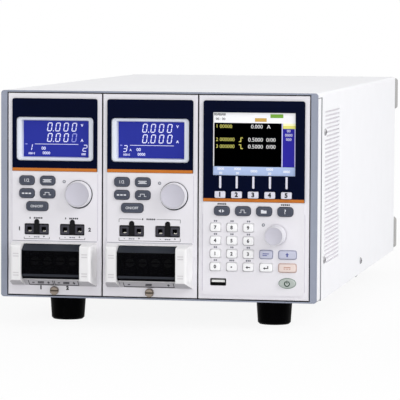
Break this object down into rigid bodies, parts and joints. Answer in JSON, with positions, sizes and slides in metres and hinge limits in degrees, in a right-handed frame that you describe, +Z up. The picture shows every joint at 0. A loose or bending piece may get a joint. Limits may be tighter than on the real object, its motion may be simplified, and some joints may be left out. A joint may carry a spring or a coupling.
{
  "type": "dc electronic load",
  "caption": "Bench dc electronic load: mainframe with plug-in load modules and a controller, with displays, keys, dials, sense sockets and hinged covers over the load terminals.",
  "frame": {"origin": "centre of the footprint on the table under the feet", "axes": "+Z up, +Y from the front panel to the rear, +X to the right seen from the front"},
  "size_m": [0.2736, 0.58, 0.2001],
  "materials": {
    "white_paint": "satin powder coat",
    "frame_grey": "satin grey-blue",
    "guard_grey": "satin grey",
    "foot_black": "matt black",
    "board_green": "solder mask",
    "socket_black": "matt black",
    "panel_white": "satin off-white",
    "window_navy": "gloss navy",
    "knob_grey": "satin light grey",
    "unit_metal": "plain metal",
    "terminal_black": "matt black",
    "smoked_plastic": "dark smoked",
    "screw_nickel": "nickel plate",
    "key_dark": "dark grey rubber feel",
    "key_soft": "pale lavender",
    "key_white": "white",
    "key_blue": "pale blue",
    "key_pink": "pale pink",
    "key_green": "pale green"
  },
  "bodies": {
    "mainframe": {"chassis": "white_paint", "top_cover": "white_paint", "front_frame": "frame_grey", "corner_guards": "guard_grey", "feet": "foot_black", "circuit_boards": "board_green", "sockets": "socket_black", "control_panel": "panel_white", "control_display": "window_navy"},
    "left_module": {"left_panel": "panel_white", "left_display": "window_navy", "left_load_unit": "unit_metal", "left_terminals": "terminal_black"},
    "right_module": {"right_panel": "panel_white", "right_display": "window_navy", "right_load_unit": "unit_metal", "right_terminals": "terminal_black"},
    "left_terminal_cover": {"left_terminal_cover": "smoked_plastic"},
    "right_terminal_cover": {"right_terminal_cover": "smoked_plastic"},
    "left_lock_screw": {"left_lock_screw": "screw_nickel"},
    "right_lock_screw": {"right_lock_screw": "screw_nickel"},
    "left_dial": {"left_dial": "knob_grey"},
    "right_dial": {"right_dial": "knob_grey"},
    "control_knob": {"control_knob": "knob_grey"},
    "left_wide_key": {"left_wide_key": "key_dark"},
    "left_key_1": {"left_key_1": "key_dark"},
    "left_key_2": {"left_key_2": "key_dark"},
    "left_key_3": {"left_key_3": "key_dark"},
    "left_key_4": {"left_key_4": "key_dark"},
    "right_wide_key": {"right_wide_key": "key_dark"},
    "right_key_1": {"right_key_1": "key_dark"},
    "right_key_2": {"right_key_2": "key_dark"},
    "right_key_3": {"right_key_3": "key_dark"},
    "right_key_4": {"right_key_4": "key_dark"},
    "power_key": {"power_key": "key_green"},
    "load_key": {"load_key": "key_pink"},
    "shift_key": {"shift_key": "key_blue"},
    "enter_key": {"enter_key": "key_white"},
    "preset_key": {"preset_key": "key_blue"},
    "soft_key_1": {"soft_key_1": "key_soft"},
    "soft_key_2": {"soft_key_2": "key_soft"},
    "soft_key_3": {"soft_key_3": "key_soft"},
    "soft_key_4": {"soft_key_4": "key_soft"},
    "soft_key_5": {"soft_key_5": "key_soft"},
    "menu_key_1": {"menu_key_1": "key_dark"},
    "menu_key_2": {"menu_key_2": "key_dark"},
    "menu_key_3": {"menu_key_3": "key_dark"},
    "menu_key_4": {"menu_key_4": "key_dark"},
    "number_key_0": {"number_key_0": "key_white"},
    "number_key_1": {"number_key_1": "key_white"},
    "number_key_2": {"number_key_2": "key_white"},
    "number_key_3": {"number_key_3": "key_white"},
    "number_key_4": {"number_key_4": "key_white"},
    "number_key_5": {"number_key_5": "key_white"},
    "number_key_6": {"number_key_6": "key_white"},
    "number_key_7": {"number_key_7": "key_white"},
    "number_key_8": {"number_key_8": "key_white"},
    "number_key_9": {"number_key_9": "key_white"},
    "point_key": {"point_key": "key_white"},
    "clear_key": {"clear_key": "key_white"}
  },
  "joints": [
    {"name": "left_module_slide", "type": "slide", "parent": "mainframe", "child": "left_module", "axis": [0, -1, 0], "range_m": [0, 0.4]},
    {"name": "right_module_slide", "type": "slide", "parent": "mainframe", "child": "right_module", "axis": [0, -1, 0], "range_m": [0, 0.4]},
    {"name": "left_cover_hinge", "type": "hinge", "parent": "left_module", "child": "left_terminal_cover", "pos_m": [-0.08885, -0.281, 0.0672], "axis": [-1, 0, 0], "range_deg": [0, 95]},
    {"name": "right_cover_hinge", "type": "hinge", "parent": "right_module", "child": "right_terminal_cover", "pos_m": [-0.00635, -0.281, 0.0672], "axis": [-1, 0, 0], "range_deg": [0, 95]},
    {"name": "left_lock_turn", "type": "hinge", "parent": "left_module", "child": "left_lock_screw", "pos_m": [-0.08885, -0.272, 0.0301], "axis": [0, -1, 0], "continuous": true},
    {"name": "right_lock_turn", "type": "hinge", "parent": "right_module", "child": "right_lock_screw", "pos_m": [-0.00635, -0.272, 0.0301], "axis": [0, -1, 0], "continuous": true},
    {"name": "left_dial_turn", "type": "hinge", "parent": "left_module", "child": "left_dial", "pos_m": [-0.06775, -0.272, 0.11275], "axis": [0, -1, 0], "continuous": true},
    {"name": "right_dial_turn", "type": "hinge", "parent": "right_module", "child": "right_dial", "pos_m": [0.01475, -0.272, 0.11275], "axis": [0, -1, 0], "continuous": true},
    {"name": "control_knob_turn", "type": "hinge", "parent": "mainframe", "child": "control_knob", "pos_m": [0.1019, -0.272, 0.08133], "axis": [0, -1, 0], "continuous": true},
    {"name": "left_wide_key_press", "type": "slide", "parent": "left_module", "child": "left_wide_key", "axis": [0, 1, 0], "range_m": [0, 0.0012], "stiffness_N_per_m": 300},
    {"name": "left_key_1_press", "type": "slide", "parent": "left_module", "child": "left_key_1", "axis": [0, 1, 0], "range_m": [0, 0.0012], "stiffness_N_per_m": 300},
    {"name": "left_key_2_press", "type": "slide", "parent": "left_module", "child": "left_key_2", "axis": [0, 1, 0], "range_m": [0, 0.0012], "stiffness_N_per_m": 300},
    {"name": "left_key_3_press", "type": "slide", "parent": "left_module", "child": "left_key_3", "axis": [0, 1, 0], "range_m": [0, 0.0012], "stiffness_N_per_m": 300},
    {"name": "left_key_4_press", "type": "slide", "parent": "left_module", "child": "left_key_4", "axis": [0, 1, 0], "range_m": [0, 0.0012], "stiffness_N_per_m": 300},
    {"name": "right_wide_key_press", "type": "slide", "parent": "right_module", "child": "right_wide_key", "axis": [0, 1, 0], "range_m": [0, 0.0012], "stiffness_N_per_m": 300},
    {"name": "right_key_1_press", "type": "slide", "parent": "right_module", "child": "right_key_1", "axis": [0, 1, 0], "range_m": [0, 0.0012], "stiffness_N_per_m": 300},
    {"name": "right_key_2_press", "type": "slide", "parent": "right_module", "child": "right_key_2", "axis": [0, 1, 0], "range_m": [0, 0.0012], "stiffness_N_per_m": 300},
    {"name": "right_key_3_press", "type": "slide", "parent": "right_module", "child": "right_key_3", "axis": [0, 1, 0], "range_m": [0, 0.0012], "stiffness_N_per_m": 300},
    {"name": "right_key_4_press", "type": "slide", "parent": "right_module", "child": "right_key_4", "axis": [0, 1, 0], "range_m": [0, 0.0012], "stiffness_N_per_m": 300},
    {"name": "power_key_press", "type": "slide", "parent": "mainframe", "child": "power_key", "axis": [0, 1, 0], "range_m": [0, 0.0012], "stiffness_N_per_m": 300},
    {"name": "load_key_press", "type": "slide", "parent": "mainframe", "child": "load_key", "axis": [0, 1, 0], "range_m": [0, 0.0012], "stiffness_N_per_m": 300},
    {"name": "shift_key_press", "type": "slide", "parent": "mainframe", "child": "shift_key", "axis": [0, 1, 0], "range_m": [0, 0.0012], "stiffness_N_per_m": 300},
    {"name": "enter_key_press", "type": "slide", "parent": "mainframe", "child": "enter_key", "axis": [0, 1, 0], "range_m": [0, 0.0012], "stiffness_N_per_m": 300},
    {"name": "preset_key_press", "type": "slide", "parent": "mainframe", "child": "preset_key", "axis": [0, 1, 0], "range_m": [0, 0.0012], "stiffness_N_per_m": 300},
    {"name": "soft_key_1_press", "type": "slide", "parent": "mainframe", "child": "soft_key_1", "axis": [0, 1, 0], "range_m": [0, 0.0012], "stiffness_N_per_m": 300},
    {"name": "soft_key_2_press", "type": "slide", "parent": "mainframe", "child": "soft_key_2", "axis": [0, 1, 0], "range_m": [0, 0.0012], "stiffness_N_per_m": 300},
    {"name": "soft_key_3_press", "type": "slide", "parent": "mainframe", "child": "soft_key_3", "axis": [0, 1, 0], "range_m": [0, 0.0012], "stiffness_N_per_m": 300},
    {"name": "soft_key_4_press", "type": "slide", "parent": "mainframe", "child": "soft_key_4", "axis": [0, 1, 0], "range_m": [0, 0.0012], "stiffness_N_per_m": 300},
    {"name": "soft_key_5_press", "type": "slide", "parent": "mainframe", "child": "soft_key_5", "axis": [0, 1, 0], "range_m": [0, 0.0012], "stiffness_N_per_m": 300},
    {"name": "menu_key_1_press", "type": "slide", "parent": "mainframe", "child": "menu_key_1", "axis": [0, 1, 0], "range_m": [0, 0.0012], "stiffness_N_per_m": 300},
    {"name": "menu_key_2_press", "type": "slide", "parent": "mainframe", "child": "menu_key_2", "axis": [0, 1, 0], "range_m": [0, 0.0012], "stiffness_N_per_m": 300},
    {"name": "menu_key_3_press", "type": "slide", "parent": "mainframe", "child": "menu_key_3", "axis": [0, 1, 0], "range_m": [0, 0.0012], "stiffness_N_per_m": 300},
    {"name": "menu_key_4_press", "type": "slide", "parent": "mainframe", "child": "menu_key_4", "axis": [0, 1, 0], "range_m": [0, 0.0012], "stiffness_N_per_m": 300},
    {"name": "number_key_0_press", "type": "slide", "parent": "mainframe", "child": "number_key_0", "axis": [0, 1, 0], "range_m": [0, 0.0012], "stiffness_N_per_m": 300},
    {"name": "number_key_1_press", "type": "slide", "parent": "mainframe", "child": "number_key_1", "axis": [0, 1, 0], "range_m": [0, 0.0012], "stiffness_N_per_m": 300},
    {"name": "number_key_2_press", "type": "slide", "parent": "mainframe", "child": "number_key_2", "axis": [0, 1, 0], "range_m": [0, 0.0012], "stiffness_N_per_m": 300},
    {"name": "number_key_3_press", "type": "slide", "parent": "mainframe", "child": "number_key_3", "axis": [0, 1, 0], "range_m": [0, 0.0012], "stiffness_N_per_m": 300},
    {"name": "number_key_4_press", "type": "slide", "parent": "mainframe", "child": "number_key_4", "axis": [0, 1, 0], "range_m": [0, 0.0012], "stiffness_N_per_m": 300},
    {"name": "number_key_5_press", "type": "slide", "parent": "mainframe", "child": "number_key_5", "axis": [0, 1, 0], "range_m": [0, 0.0012], "stiffness_N_per_m": 300},
    {"name": "number_key_6_press", "type": "slide", "parent": "mainframe", "child": "number_key_6", "axis": [0, 1, 0], "range_m": [0, 0.0012], "stiffness_N_per_m": 300},
    {"name": "number_key_7_press", "type": "slide", "parent": "mainframe", "child": "number_key_7", "axis": [0, 1, 0], "range_m": [0, 0.0012], "stiffness_N_per_m": 300},
    {"name": "number_key_8_press", "type": "slide", "parent": "mainframe", "child": "number_key_8", "axis": [0, 1, 0], "range_m": [0, 0.0012], "stiffness_N_per_m": 300},
    {"name": "number_key_9_press", "type": "slide", "parent": "mainframe", "child": "number_key_9", "axis": [0, 1, 0], "range_m": [0, 0.0012], "stiffness_N_per_m": 300},
    {"name": "point_key_press", "type": "slide", "parent": "mainframe", "child": "point_key", "axis": [0, 1, 0], "range_m": [0, 0.0012], "stiffness_N_per_m": 300},
    {"name": "clear_key_press", "type": "slide", "parent": "mainframe", "child": "clear_key", "axis": [0, 1, 0], "range_m": [0, 0.0012], "stiffness_N_per_m": 300}
  ]
}
